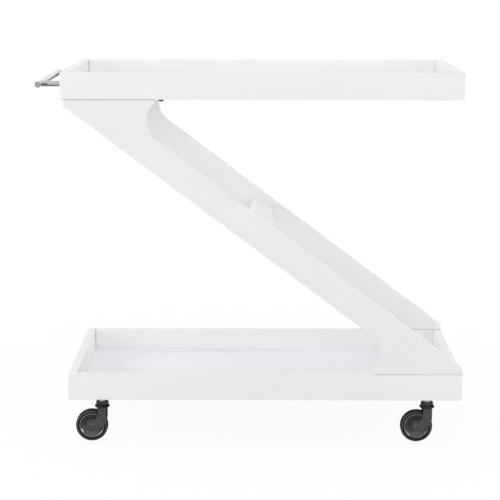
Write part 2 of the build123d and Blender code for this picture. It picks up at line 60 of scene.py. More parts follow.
# Tray boards: four mitred wall boards round a thin floor board, twice.
# They are primed fibreboard under a sprayed white satin lacquer, which keeps a faint orange peel and the
# trace of lengthwise sanding below it. A lighter white on the back walls and a cooler white on the floors
# are painted light, and a grey line in the inner back corners is dust with painted shade.


class Tone:
    """A value worked out over a surface: arithmetic on it adds Math nodes to its finish."""

    def __init__(self, finish, socket):
        self.finish = finish
        self.socket = socket

    def __add__(self, other):
        return self.finish.maths("ADD", self, other)

    def __sub__(self, other):
        return self.finish.maths("SUBTRACT", self, other)

    def __rsub__(self, other):
        return self.finish.maths("SUBTRACT", other, self)

    def __mul__(self, other):
        return self.finish.maths("MULTIPLY", self, other)

    __radd__ = __add__
    __rmul__ = __mul__


class Finish:
    """The node tree of one finish, for a piece of the cart or for the studio."""

    def __init__(self, tree):
        self.tree = tree

    def node(self, kind, settings, sockets, out):
        """Adds a node, makes its settings, sets or links its sockets, and gives its output named out."""
        made = self.tree.nodes.new(kind)
        for setting, value in settings.items():
            setattr(made, setting, value)
        for socket in made.inputs:
            value = sockets.get(socket.identifier)
            if isinstance(value, Tone):
                self.tree.links.new(value.socket, socket)
            elif value is not None:
                socket.default_value = value
        return Tone(self, next(socket for socket in made.outputs if socket.identifier == out))

    def maths(self, operation, first, second):
        """One step of arithmetic on two values, of which one or both vary."""
        values = {"Value": first, "Value_001": second}
        return self.node("ShaderNodeMath", {"operation": operation}, values, "Value")

    def place(self):
        """Where a point lies on the cart at rest, in metres."""
        return self.node("ShaderNodeTexCoord", {}, {}, "Object")

    def drawn_out(self, place, turn, stretch):
        """A place turned about the axes and then stretched, so that a grain runs along a piece."""
        turned_place = self.node("ShaderNodeMapping", {}, {"Vector": place, "Rotation": turn}, "Vector")
        return self.node("ShaderNodeMapping", {}, {"Vector": turned_place, "Scale": stretch}, "Vector")

    def noise(self, place, lumps=1.0, detail=2.0):
        """Cloudy noise with about this many lumps to the metre, or to one step of a stretched place."""
        cloud = {"Vector": place, "Scale": lumps, "Detail": detail}
        return self.node("ShaderNodeTexNoise", {}, cloud, "Fac")

    def part(self, vector, axis):
        """One of the three parts of a vector."""
        return self.node("ShaderNodeSeparateXYZ", {}, {"Vector": vector}, axis)

    def away(self, place, point, axes):
        """How far a place is from a point, counted only on the axes that are one: three give the way from
        the point, two the way from a line through it and one the way from a plane."""
        moved = {"Vector": place, "Location": [-a * b for a, b in zip(point, axes)], "Scale": axes}
        offset = self.node("ShaderNodeMapping", {}, moved, "Vector")
        return self.node("ShaderNodeVectorMath", {"operation": "LENGTH"}, {"Vector": offset}, "Value")

    def ramp(self, value, low, high):
        """A smooth rise from nought at the low value to one at the high value."""
        ends = {"Value": value, "From Min": low, "From Max": high}
        return self.node("ShaderNodeMapRange", {"interpolation_type": "SMOOTHSTEP"}, ends, "Result")

    def blend(self, share, first, second):
        """A colour between two colours."""
        first, second = (tone if isinstance(tone, Tone) else (*tone, 1.0) for tone in (first, second))
        ends = {"Factor_Float": share, "A_Color": first, "B_Color": second}
        return self.node("ShaderNodeMix", {"data_type": "RGBA"}, ends, "Result_Color")

    def relief(self, height, depth):
        """The surface normal over a height map whose full depth is given in metres."""
        return self.node("ShaderNodeBump", {}, {"Height": height, "Distance": depth}, "Normal")

    def surface(self, colour, roughness, normal=None, metallic=0.0, specular=0.5):
        """Fills in the shader: what varies is linked to it, and what is the same all over is set on it."""
        shader = self.tree.nodes["Principled BSDF"]
        for socket, value in {"Base Color": colour, "Roughness": roughness, "Normal": normal}.items():
            if isinstance(value, Tone):
                self.tree.links.new(value.socket, shader.inputs[socket])
            elif value is not None:
                shader.inputs[socket].default_value = value
        shader.inputs["Metallic"].default_value = metallic
        shader.inputs["Specular IOR Level"].default_value = specular


def new_finish(name):
    """An empty material of that name, ready for its nodes."""
    made = bpy.data.materials.new(name)
    made.use_nodes = True
    return Finish(made.node_tree)


wall_whites = (0.850, 0.850, 0.847), (0.828, 0.829, 0.830)
# Painted light: the back walls' whites are lighter copies of the wall whites.
back_painted_light_whites = (0.868, 0.868, 0.870), (0.846, 0.847, 0.852)
# Painted light: the floors' whites are cooler, bluer copies of the wall whites, as the cool light on them.
floor_painted_cool_whites = (0.853, 0.858, 0.882), (0.833, 0.839, 0.864)
joint_dust_and_shade_grey = (0.42, 0.42, 0.42)
sanding_along = 5.0
sanding_across = 260.0
lengthwise = (sanding_along, sanding_across, sanding_across)
crosswise = (sanding_across, sanding_along, sanding_across)
no_turn = (0.0, 0.0, 0.0)


def white_lacquer(name, stretch, whites=wall_whites, turn=no_turn, clear_of_joint_shade=None):
    """Satin white lacquer: slow clouds between two whites, streaks of sanding along the board and a fine
    orange peel. The back walls' whites are painted lighter, the floors' cooler and the panels' darker, as
    painted light and shade. A share that falls to nought in a joint lets it go grey there, as dust with
    painted shade."""
    finish = new_finish(name)
    place = finish.place()
    cloud = finish.noise(place, lumps=5.0, detail=3.0)
    streak = finish.noise(finish.drawn_out(place, turn, stretch), detail=4.0)
    peel = finish.noise(place, lumps=620.0)
    patches = finish.ramp(cloud * 0.4 + streak * 0.6, low=0.3, high=0.7)
    colour = finish.blend(patches, *whites)
    # Dust with painted shade: the joints go grey where the share falls to nought.
    if clear_of_joint_shade:
        colour = finish.blend(clear_of_joint_shade(finish, place), joint_dust_and_shade_grey, colour)
    roughness = 0.42 + streak * 0.10 + peel * 0.04
    finish.surface(colour, roughness, finish.relief(peel * 0.7 + streak * 0.3, depth=0.00005))


def dress(material, *nodes):
    """Gives CAD nodes a material, in place of the plain one that they came with."""
    for node in nodes:
        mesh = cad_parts[node].data
        mesh.materials.clear()
        mesh.materials.append(bpy.data.materials[material])


corner_shade_line = (0.0008, 0.0018)
off_upright = (1.0, 1.0, 0.0)


def clear_of_corner_shade(corner, finish, place):
    """How clear a point is of the dust and painted shade in an inner corner, by its distance from the
    upright line of that corner.
    """
    return finish.ramp(finish.away(place, corner, off_upright), *corner_shade_line)


white_lacquer("lacquer_lengthwise", lengthwise)
white_lacquer("lacquer_crosswise", crosswise)
white_lacquer("lacquer_floor", lengthwise, floor_painted_cool_whites)
for tray in ("top", "bottom"):
    _, wall_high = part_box(f"{tray}_left_wall")
    back_low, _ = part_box(f"{tray}_back_wall")
    by_corner = partial(clear_of_corner_shade, (wall_high.x, back_low.y, 0.0))
    white_lacquer(f"lacquer_{tray}_back", lengthwise, back_painted_light_whites, clear_of_joint_shade=by_corner)
    dress(f"lacquer_{tray}_back", f"{tray}_back_wall")
    dress("lacquer_lengthwise", f"{tray}_front_wall")
    dress("lacquer_floor", f"{tray}_floor")
    dress("lacquer_crosswise", f"{tray}_left_wall", f"{tray}_right_wall")

# Side panels and cross rail: two Z-shaped boards and the rail between them.
# The same fibreboard and lacquer, with its white painted darker as painted shade, sanded along the slant on
# the panels and along the rail; they are glued and screwed to the trays. Along the panels' seams it goes
# grey, as dust with painted shade.

# Painted shade: the panels' and rail's whites are darker copies of the wall whites.
panel_painted_shade_whites = (0.826, 0.826, 0.823), (0.805, 0.806, 0.807)
panel_low, panel_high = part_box("front_panel")
slant = atan2(panel_high.z - panel_low.z, panel_high.x - panel_low.x)
seam_shade_line = (0.0004, 0.0012)


def clear_of_seam_shade(finish, place):
    """How clear a point is of the dust and painted shade along the seams, by its height below the upper one
    and above the lower one.
    """
    height = finish.part(place, "Z")
    return finish.ramp(panel_high.z - height, *seam_shade_line) * finish.ramp(height - panel_low.z, *seam_shade_line)


white_lacquer("lacquer_slantwise", lengthwise, panel_painted_shade_whites, (0.0, -slant, 0.0), clear_of_seam_shade)
white_lacquer("lacquer_rail", crosswise, panel_painted_shade_whites)
dress("lacquer_slantwise", "front_panel", "rear_panel")
dress("lacquer_rail", "cross_rail")

# Dowels and screws: what holds the boards together, out of sight.
# Fluted beech dowels glued into blind holes, and bright zinc-plated steel screws and inserts.

beech_pale = (0.66, 0.47, 0.29)
beech_dark = (0.47, 0.31, 0.18)
beech_rings = (300.0, 300.0, 900.0)
beech = new_finish("raw_beech")
rings = beech.noise(beech.drawn_out(beech.place(), no_turn, beech_rings), detail=4.0)
beech_colour = beech.blend(rings, beech_pale, beech_dark)
beech.surface(beech_colour, 0.62 + rings * 0.15, beech.relief(rings, depth=0.0002))
dress("raw_beech", "top_corner_dowels", "bottom_corner_dowels", "rail_dowels", "panel_dowels")

zinc_bright = (0.74, 0.76, 0.78)
zinc_dull = (0.56, 0.58, 0.60)
zinc = new_finish("bright_zinc")
bloom = zinc.noise(zinc.place(), lumps=420.0, detail=3.0)
zinc_colour = zinc.blend(bloom, zinc_bright, zinc_dull)
zinc.surface(zinc_colour, 0.20 + bloom * 0.16, zinc.relief(bloom, depth=0.00005), metallic=1.0)
dress("bright_zinc", "top_panel_screws", "bottom_panel_screws", "handle_screws", "castor_inserts")

# Push-in buttons: a low black plastic button under each long wall of the upper tray.
# Moulded in one piece with a peg that is pressed up into the wall's lower edge.

plastic_and_shade_black = (0.010, 0.010, 0.011)
plastic_worn = (0.017, 0.017, 0.018)


def moulded_plastic(name, tones, least_roughness, face_share=None):
    """Moulded plastic: slow flow marks in the colour and gloss, and the fine spark texture of its mould.
    A share that is one on the outer faces keeps the colour to them, and the rest is black: on a fork the
    flange's own black, and painted shade on the sides and neck edges."""
    finish = new_finish(name)
    place = finish.place()
    flow = finish.noise(place, lumps=60.0, detail=3.0)
    sparks = finish.noise(place, lumps=2600.0)
    colour = finish.blend(flow, *tones)
    # Where the share is nought the colour goes black: a fork's flange as its own colour, its sides and neck
    # edges as painted shade.
    if face_share:
        colour = finish.blend(face_share(finish, place), plastic_and_shade_black, colour)
    roughness = least_roughness + sparks * 0.08 + flow * 0.06
    finish.surface(colour, roughness, finish.relief(sparks, depth=0.00003))


moulded_plastic("black_plastic", (plastic_and_shade_black, plastic_worn), least_roughness=0.26)
dress("black_plastic", "push_in_buttons")

# Pull bar: a round stainless bar on two saddled posts.
# Polished along its length, and held by a screw from inside the tray into each post. Each post carries a
# painted dark reflection of the bar beside it.

crease = radians(32.0)
weld_reach = 1e-6


def weld(mesh):
    """Merges points that share a place, turns the faces outwards and shades them smooth up to a crease."""
    work = bmesh.new()
    work.from_mesh(mesh)
    bmesh.ops.remove_doubles(work, verts=work.verts, dist=weld_reach)
    bmesh.ops.recalc_face_normals(work, faces=work.faces)
    work.to_mesh(mesh)
    work.free()
    mesh.shade_smooth()
    mesh.set_sharp_from_angle(angle=crease)


def closed_piece(name, rows, material, body, *replaced):
    """Makes a piece from rows of points: each row is a closed loop, and the rows shrink to a point at both
    ends or come back to the first one, so that welding closes the skin."""
    height, width, _ = rows.shape
    along = np.arange(height - 1)[:, None] * width
    here = along + np.arange(width)
    beside = along + np.roll(np.arange(width), -1)
    faces = np.stack([here, beside, beside + width, here + width], axis=-1)
    mesh = bpy.data.meshes.new(name)
    mesh.from_pydata(rows.reshape(-1, 3).tolist(), [], faces.reshape(-1, 4).tolist())
    weld(mesh)
    mesh.materials.append(bpy.data.materials[material])
    piece = bpy.data.objects.new(name, mesh)
    bpy.context.scene.collection.objects.link(piece)
    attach(piece, body)
    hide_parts(*replaced)


def lathe(profile, centre, axis, around=96):
    """A turned form: each (reach, radius) of the profile is carried round the axis through the centre,
    to centre + reach x axis + radius x (cosine x side + sine x up)."""
    spin = np.linspace(0.0, 2 * pi, around, endpoint=False)[:, None]
    axis = np.array(axis, float)
    side = np.roll(axis, 1)
    ring = np.cos(spin) * side + np.sin(spin) * np.cross(axis, side)
    return np.array(centre) + profile[:, 0, None, None] * axis + profile[:, 1, None, None] * ring


flat_margin = 1.1


def rounded(corners, radii, steps=7):
    """An open profile through corner points, each rounded by an arc tangent to both its sides.
    The arc's points are its centre plus its radius times a spoke swung from side to side. A point
    close before and after it keeps the sides flat."""
    corners = np.array(corners, float)
    radii = np.array(radii, float)[:, None]
    before = corners[1:-1] - corners[:-2]
    after = corners[2:] - corners[1:-1]
    before /= np.linalg.norm(before, axis=1, keepdims=True)
    after /= np.linalg.norm(after, axis=1, keepdims=True)
    sine = before[:, :1] * after[:, 1:] - before[:, 1:] * after[:, :1]
    cosine = (before * after).sum(axis=1, keepdims=True)
    turn = np.arctan2(sine, cosine)
    inward = np.sign(turn) * np.stack([-before[:, 1], before[:, 0]], axis=1)
    reach = radii * np.tan(np.abs(turn) / 2)
    centre = corners[1:-1] - before * reach + inward * radii
    swing = turn[:, :, None] * np.linspace(0.0, 1.0, steps)[None, :, None]
    spoke = -inward[:, None, :]
    swung = np.concatenate([spoke[..., :1] * np.cos(swing) - spoke[..., 1:] * np.sin(swing),
                            spoke[..., :1] * np.sin(swing) + spoke[..., 1:] * np.cos(swing)], axis=-1)
    arcs = centre[:, None, :] + radii[:, None, :] * swung
    start = corners[1:-1] - before * reach * flat_margin
    stop = corners[1:-1] + after * reach * flat_margin
    bends = np.concatenate([start[:, None, :], arcs, stop[:, None, :]], axis=1)
    return np.concatenate([corners[:1], bends.reshape(-1, 2), corners[-1:]])


steel_bright = (0.71, 0.71, 0.72)
steel_dull = (0.58, 0.58, 0.585)
bar_reflection_brown = (0.10, 0.095, 0.085)
belt_along = 25.0
belt_across = 2600.0


def polished_steel(name, stretch, reflection_share=None):
    """Stainless steel polished with a belt: fine streaks along the piece in its colour, gloss and relief.
    A share that rises beside the bar paints a dark brown reflection of the bar there."""
    finish = new_finish(name)
    place = finish.place()
    streak = finish.noise(finish.drawn_out(place, no_turn, stretch), detail=3.0)
    smear = finish.noise(place, lumps=45.0)
    colour = finish.blend(streak * 0.7 + smear * 0.3, steel_bright, steel_dull)
    # Painted reflection: a dark brown patch on the post beside the bar.
    if reflection_share:
        colour = finish.blend(reflection_share(finish, place), colour, bar_reflection_brown)
    roughness = 0.10 + streak * 0.08 + smear * 0.05
    finish.surface(colour, roughness, finish.relief(streak, depth=0.000008), metallic=1.0)


bar_low, bar_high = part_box("handle_bar")
bar_centre = (bar_low + bar_high) / 2
bar_radius = min(bar_high.x - bar_low.x, bar_high.z - bar_low.z) / 2
bar_half = (bar_high.y - bar_low.y) / 2
bar_edge = 0.001
bar_axis = (0, 1, 0)
reflection_foot = (-0.0026, -0.0016)
reflection_head = (0.0004, 0.0014)
reflection_end = (0.009, 0.015)


def beside_bar_reflection(finish, place):
    """The painted dark reflection of the bar on a post: it fades with the way from the bar and the height
    off the axis.
    """
    way = finish.part(place, "X") - (bar_centre.x + bar_radius)
    height = finish.part(place, "Z") - bar_centre.z
    middle = finish.ramp(height, *reflection_foot) * (1.0 - finish.ramp(height, *reflection_head))
    return middle * (1.0 - finish.ramp(way, *reflection_end))


polished_steel("steel_bar", (belt_across, belt_along, belt_across))
polished_steel("steel_post", (belt_along, belt_across, belt_across), beside_bar_reflection)
bar_corners = [(-bar_half, 0.0), (-bar_half, bar_radius), (bar_half, bar_radius), (bar_half, 0.0)]
bar_rows = lathe(rounded(bar_corners, [bar_edge, bar_edge]), bar_centre, bar_axis)
closed_piece("pull_bar", bar_rows, "steel_bar", "root", "handle_bar")

saddle_gap = 0.00005
end_rings = 8
side_rings = 12


def saddled_post(low, high, saddle_x, saddle_radius, around=72):
    """A post whose near end is hollowed to the bar: on a ring of radius r at angle a the end stands
    off the bar's axis by the square root of the saddle radius squared less (r sin a) squared."""
    spin = np.linspace(0.0, 2 * pi, around, endpoint=False)
    radius = (high.z - low.z) / 2
    share = np.linspace(0.0, 1.0, end_rings)
    rings = np.concatenate([share * radius, np.full(side_rings, radius), share[::-1] * radius])[:, None]
    length = np.linspace(0.0, 1.0, side_rings + 2)[1:-1]
    along = np.concatenate([np.zeros(end_rings), length, np.ones(end_rings)])[:, None]
    near = saddle_x + np.sqrt(saddle_radius ** 2 - (rings * np.sin(spin)) ** 2)
    x = near + along * (high.x - near)
    y = (low.y + high.y) / 2 + rings * np.cos(spin)
    z = (low.z + high.z) / 2 + rings * np.sin(spin)
    return np.stack([x, y, z], axis=-1)


for end in ("front", "rear"):
    post_low, post_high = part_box(f"handle_post_{end}")
    post_rows = saddled_post(post_low, post_high, bar_centre.x, bar_radius + saddle_gap)
    closed_piece(f"pull_post_{end}", post_rows, "steel_post", "root", f"handle_post_{end}")

# Castor stems and lock nuts: a threaded steel stem under each corner of the lower tray.
# The stem's zinc has whitened; its thinner end screws into the floor board's insert, and a bright nut
# locks it there.

castors = [f"{row}_{column}" for row in ("front", "rear") for column in ("left", "right")]
stem_radius = 0.005
thread_radius = 0.004
thread_pitch = 0.00125
thread_depth = 0.0006
thick_rings = 110
thin_rings = 60
collar_radius = 0.007
collar_height = 0.0015
rivet_height = 0.0027


def upright_rows(x, y, radius, heights, spin):
    """Rows of points round an upright axis at x and y: each lies at its radius, angle and height."""
    return np.stack([x + radius * np.cos(spin), y + radius * np.sin(spin), heights + 0 * spin], axis=-1)


def threaded_stem(x, y, foot, rivet_radius, seat, board, top, around=48):
    """A stem turned round its axis: rivet, kingpin, collar on the seat, a thread up to the board and a
    thinner one in it. A thread's radius falls from its crest by the depth times a triangle wave of the
    height over the pitch less the angle in turns, faded out at both ends."""
    spin = np.linspace(0.0, 2 * pi, around, endpoint=False)
    rivet_top = foot + rivet_height
    collar_top = seat + collar_height
    thick = np.linspace(collar_top, board, thick_rings)
    thin = np.linspace(board, top, thin_rings)
    lower_heights = [foot, foot, rivet_top, rivet_top, seat, seat, collar_top]
    lower_radii = [0.0, rivet_radius, rivet_radius, stem_radius, stem_radius, collar_radius, collar_radius]
    thread_radii = [stem_radius] * thick_rings + [thread_radius] * thin_rings
    heights = np.concatenate([lower_heights, thick, thin, [top]])[:, None]
    radii = np.concatenate([lower_radii, thread_radii, [0.0]])[:, None]
    from_end = np.abs(heights - [[collar_top, board, top]]).min(axis=1, keepdims=True)
    fade = np.clip(from_end / thread_pitch, 0.0, 1.0) * (heights > collar_top)
    wave = np.abs(((heights / thread_pitch - spin / (2 * pi)) % 1.0) * 2 - 1)
    return upright_rows(x, y, radii - thread_depth * wave * fade, heights, spin)


nut_low, nut_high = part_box("castor_nuts")
nut_flat = 0.0085
nut_gap = 0.00005
chamfer_rings = 9
chamfer_share = 0.2


def lock_nut(x, y, low, high, flat, bore, around=96):
    """A hexagon nut: at angle a its side stands off by the half width over the cosine of a folded into a
    sixth of a turn, and a cone of 30 degrees takes the corners off at both faces."""
    spin = np.linspace(0.0, 2 * pi, around, endpoint=False)
    side = flat / np.cos((spin + pi / 6) % (pi / 3) - pi / 6)
    share = np.linspace(0.0, chamfer_share, chamfer_rings)
    heights = low + np.concatenate([share, 1.0 - share[::-1]])[:, None] * (high - low)
    cone = flat + np.minimum(heights - low, high - heights) * sqrt(3.0)
    hole = np.full((1, around), bore)
    radius = np.concatenate([hole, np.minimum(side, cone), hole, hole])
    heights = np.concatenate([[[low]], heights, [[high]], [[low]]])
    return upright_rows(x, y, radius, heights, spin)


stem_pale = (0.88, 0.88, 0.88)
stem_dull = (0.78, 0.78, 0.79)
white_zinc = new_finish("white_zinc")
chalk = white_zinc.noise(white_zinc.place(), lumps=520.0, detail=3.0)
stem_colour = white_zinc.blend(chalk, stem_pale, stem_dull)
white_zinc.surface(stem_colour, 0.34 + chalk * 0.14, white_zinc.relief(chalk, depth=0.00003), metallic=0.25)
for castor in castors:
    cup_low, cup_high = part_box(f"{castor}_castor_cup")
    stem_low, stem_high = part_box(f"{castor}_castor_stem")
    swivel = (cup_low + cup_high) / 2
    rivet_radius = (stem_high.x - stem_low.x) / 2
    stem_rows = threaded_stem(swivel.x, swivel.y, stem_low.z, rivet_radius, cup_high.z, nut_high.z,
                              stem_high.z)
    closed_piece(f"{castor}_stem", stem_rows, "white_zinc", "root", f"{castor}_castor_stem")
    nut_rows = lock_nut(swivel.x, swivel.y, nut_low.z, nut_high.z, nut_flat, stem_radius + nut_gap)
    closed_piece(f"{castor}_nut", nut_rows, "bright_zinc", "root", "castor_nuts")
dress("bright_zinc", *[f"{castor}_castor_balls" for castor in castors])

# Castor heads: race cup, fork and axle of each castor.
# The cup is black plastic, the fork is moulded in charcoal plastic with a black flange and its sides and
# neck edges painted black as shade, and the axle is a dark steel rivet closed over the fork's arms, its
# bore painted black as shade.

fork_tones = (0.054, 0.052, 0.059), (0.066, 0.064, 0.072)
face_depth = (0.0138, 0.0146)
neck_edge = (0.0086, 0.0098)
flange_edge = (0.0770, 0.0774)
neck_foot = (0.054, 0.058)
off_middle = (0.0, 1.0, 0.0)
off_stem = (1.0, 0.0, 0.0)


def on_outer_face(swivel, finish, place):
    """One on the outer faces of a fork: well off its middle, below its flange and clear of the edges of
    its neck. It is nought on the rest, which goes black: the flange as its own colour, the sides and neck
    edges as painted shade."""
    height = finish.part(place, "Z")
    face = finish.ramp(finish.away(place, swivel, off_middle), *face_depth)
    edge = finish.ramp(finish.away(place, swivel, off_stem), *neck_edge)
    neck = finish.ramp(height, *neck_foot)
    below_flange = 1.0 - finish.ramp(height, *flange_edge)
    return face * below_flange * (1.0 - edge * neck)


rivet_bright = (0.34, 0.34, 0.35)
rivet_dull = (0.22, 0.22, 0.23)
bore_shade_edge = (0.0022, 0.0025)
off_axle = (1.0, 0.0, 1.0)


def bored_rivet(name, centre):
    """Dark steel whose bore is painted black as shade: the colour turns on the distance from the axle's
    axis.
    """
    finish = new_finish(name)
    place = finish.place()
    burnish = finish.noise(place, lumps=900.0, detail=3.0)
    # Painted shade: the bore goes black by its distance from the axle's axis.
    clear_of_bore_shade = finish.ramp(finish.away(place, centre, off_axle), *bore_shade_edge)
    colour = finish.blend(clear_of_bore_shade, plastic_and_shade_black, finish.blend(burnish, rivet_bright, rivet_dull))
    finish.surface(colour, 0.28 + burnish * 0.14, finish.relief(burnish, depth=0.00003), metallic=1.0)


for castor in castors:
    axle_low, axle_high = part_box(f"{castor}_castor_axle")
    cup_low, cup_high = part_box(f"{castor}_castor_cup")
    outer_face = partial(on_outer_face, (cup_low + cup_high) / 2)
    moulded_plastic(f"{castor}_fork_plastic", fork_tones, least_roughness=0.30, face_share=outer_face)
    bored_rivet(f"{castor}_rivet", (axle_low + axle_high) / 2)
    dress("black_plastic", f"{castor}_castor_cup")
    dress(f"{castor}_fork_plastic", f"{castor}_castor_fork")
    dress(f"{castor}_rivet", f"{castor}_castor_axle")

# Wheels: a dished plastic core on a nylon bush, with a smooth rubber tyre bonded round it.
# The core is moulded with a bevelled lip painted paler as a highlight, and the black tyre is dusty in
# patches, with a grey painted sheen round each shoulder.

core_charcoal = (0.040, 0.038, 0.044)
core_slate = (0.048, 0.046, 0.052)
lip_painted_highlight = (0.170, 0.166, 0.176)
lip_edge = (0.0256, 0.0260)


def dished_plastic(name, centre):
    """Charcoal plastic of a wheel core, smooth enough to mirror a bright strip, with a paler lip that is a
    painted highlight.
    """
    finish = new_finish(name)
    place = finish.place()
    flow = finish.noise(place, lumps=60.0, detail=3.0)
    scuff = finish.noise(place, lumps=1400.0)
    lip = finish.ramp(finish.away(place, centre, off_axle), *lip_edge)
    # Painted highlight: the lip beyond its edge takes a paler grey.
    colour = finish.blend(lip, finish.blend(flow, core_charcoal, core_slate), lip_painted_highlight)
    roughness = 0.11 + flow * 0.05 + scuff * 0.04
    finish.surface(colour, roughness, finish.relief(scuff, depth=0.000003), specular=1.0)


rubber_black = (0.004, 0.004, 0.0045)
rubber_dusty = (0.007, 0.007, 0.0075)
shoulder_sheen_grey = (0.085, 0.085, 0.089)
shoulder_start = (0.0310, 0.0314)
shoulder_stop = (0.0334, 0.0338)


def tyre_rubber(name, centre):
    """Black rubber, dusty in patches, with a grey painted sheen on the shoulder: the colour turns on the
    radius.
    """
    finish = new_finish(name)
    place = finish.place()
    dust = finish.noise(place, lumps=140.0, detail=4.0)
    grip = finish.noise(place, lumps=1800.0)
    radius = finish.away(place, centre, off_axle)
    shoulder = finish.ramp(radius, *shoulder_start) * (1.0 - finish.ramp(radius, *shoulder_stop))
    # Painted sheen: a grey band on the shoulder, between two radii.
    colour = finish.blend(shoulder, finish.blend(dust, rubber_black, rubber_dusty), shoulder_sheen_grey)
    finish.surface(colour, 0.46 + dust * 0.16, finish.relief(grip, depth=0.00003), specular=0.2)


nylon_pale = (0.74, 0.72, 0.66)
nylon_dull = (0.64, 0.62, 0.56)
nylon = new_finish("natural_nylon")
haze = nylon.noise(nylon.place(), lumps=260.0, detail=3.0)
nylon.surface(nylon.blend(haze, nylon_pale, nylon_dull), 0.42 + haze * 0.1)


def two_sided(half, radii):
    """A wheel's whole section from one half of it: the half rounded, then its mirror image back again."""
    side = rounded(half, radii)
    return np.concatenate([side, side[::-1] * (-1.0, 1.0)])


seat_radius = 0.028
groove_inset = 0.0026
groove_lip_inset = 0.0022
groove_lip_rise = 0.0005
flare_rise = 0.0023
side_drop = 0.0046
shoulder_inset = 0.0016
shoulder_drop = 0.0022
tread_inset = 0.0040
tyre_rounds = (0.0002, 0.0003, 0.0003, 0.0004, 0.0008, 0.0024)


def tyre_section(half, tread):
    """The tyre from its seat out of the groove, over the flat side and the sloped shoulder to the tread."""
    corners = [
        (0.0, seat_radius),
        (half - groove_inset, seat_radius),
        (half - groove_lip_inset, seat_radius + groove_lip_rise),
        (half, seat_radius + flare_rise),
        (half, tread - side_drop),
        (half - shoulder_inset, tread - shoulder_drop),
        (half - tread_inset, tread),
        (0.0, tread),
    ]
    return two_sided(corners, tyre_rounds)


rim_half = 0.0095
rim_chamfer = 0.0006
lip_drop = 0.0018
bevel_half = 0.0090
bevel_drop = 0.0027
dish_half = 0.0075
dish_drop = 0.0048
hub_foot_half = 0.0048
hub_foot_radius = 0.0132
hub_radius = 0.0095
bush_radius = 0.006
bond = 0.00005
core_rounds = (0.0002, 0.0002, 0.0001, 0.0010, 0.0004, 0.0016, 0.0008, 0.0001)


def core_section(hub_half, radius):
    """The core from its seat in the tyre over the lip, down the bevel and the dish and up the hub to its
    bore, a bond line wider than the bush."""
    corners = [
        (0.0, radius),
        (rim_half - rim_chamfer, radius),
        (rim_half, radius - rim_chamfer),
        (rim_half, radius - lip_drop),
        (bevel_half, radius - bevel_drop),
        (dish_half, radius - dish_drop),
        (hub_foot_half, hub_foot_radius),
        (hub_half, hub_radius),
        (hub_half, bush_radius + bond),
        (0.0, bush_radius + bond),
    ]
    return two_sided(corners, core_rounds)


axle_axis = (0, 1, 0)
wheel_steps = 128
for castor in castors:
    tyre_low, tyre_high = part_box(f"{castor}_tyre")
    core_low, core_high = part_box(f"{castor}_wheel_core")
    hub = (tyre_low + tyre_high) / 2
    tyre_profile = tyre_section((tyre_high.y - tyre_low.y) / 2, (tyre_high.z - tyre_low.z) / 2)
    core_profile = core_section((core_high.y - core_low.y) / 2, (core_high.z - core_low.z) / 2)
    tyre_rubber(f"{castor}_rubber", hub)
    tyre_rows = lathe(tyre_profile, hub, axle_axis, wheel_steps)
    closed_piece(f"{castor}_rubber_tyre", tyre_rows, f"{castor}_rubber", f"{castor}_wheel",
                 f"{castor}_tyre")
    dished_plastic(f"{castor}_core", hub)
    core_rows = lathe(core_profile, hub, axle_axis, wheel_steps)
    closed_piece(f"{castor}_dished_core", core_rows, f"{castor}_core", f"{castor}_wheel",
                 f"{castor}_wheel_core")
    dress("natural_nylon", f"{castor}_wheel_bush")

# Studio: a wide white paper floor in white surroundings, soft lamps, and cards that only the gloss shows.
# The paper keeps a faint shadow near the cart; what the camera and the metal see beyond it is white.
# Grey cards give the steel and plastic something to mirror, and two bright strips light the wheels' bevels.


def stage_sheet(name, points, material):
    """A flat sheet of the studio through four points."""
    mesh = bpy.data.meshes.new(name)
    mesh.from_pydata(points, [], [(0, 1, 2, 3)])
    mesh.materials.append(bpy.data.materials[material])
    sheet = bpy.data.objects.new(name, mesh)
    bpy.context.scene.collection.objects.link(sheet)
    return sheet


def level_sheet(height, half_width, front, back):
    """The four corners of a level sheet at a height, between two places along Y."""
    return [(-half_width, front, height), (half_width, front, height),
            (half_width, back, height), (-half_width, back, height)]


def upright_sheet(start, stop, low, high):
    """The four corners of an upright sheet over a line on the floor, between two heights."""
    return [(*start, low), (*stop, low), (*stop, high), (*start, high)]


def seen(finish):
    """One where a ray comes from the camera, a mirror or glass, and nought where it carries light."""
    kinds = ("Is Camera Ray", "Is Glossy Ray", "Is Transmission Ray")
    camera_ray, glossy_ray, glass_ray = (finish.node("ShaderNodeLightPath", {}, {}, kind) for kind in kinds)
    return finish.node("ShaderNodeClamp", {}, {"Value": camera_ray + glossy_ray + glass_ray}, "Result")


def glow(finish, level):
    """A shader that shines evenly with a grey of that level, of which one is white."""
    shine = {"Color": (level, level, level, 1.0), "Strength": 1.0}
    return finish.node("ShaderNodeEmission", {}, shine, "Emission")


def show(finish, shader):
    """Sends a shader to the output of a finish, in place of the one that came with it."""
    finish.tree.links.new(shader.socket, finish.tree.nodes["Material Output"].inputs["Surface"])


paper_white = (0.93, 0.93, 0.93, 1.0)
paper_roughness = 0.9
shadow_share = 0.08
shadow_reach = (0.7, 1.8)
floor_middle = (0.0, 0.0, 0.0)
floor_half = 30.0
all_axes = (1.0, 1.0, 1.0)
paper = new_finish("floor_paper")
paper.surface(paper_white, paper_roughness)
far_off = paper.ramp(paper.away(paper.place(), floor_middle, all_axes), *shadow_reach)
whitened = 1.0 - shadow_share + shadow_share * far_off
lit_paper = Tone(paper, paper.tree.nodes["Principled BSDF"].outputs["BSDF"])
shaders = {"Fac": seen(paper) * whitened, "Shader": lit_paper, "Shader_001": glow(paper, 1.0)}
show(paper, paper.node("ShaderNodeMixShader", {}, shaders, "Shader"))
stage_sheet("floor", level_sheet(0.0, floor_half, -floor_half, floor_half), "floor_paper")


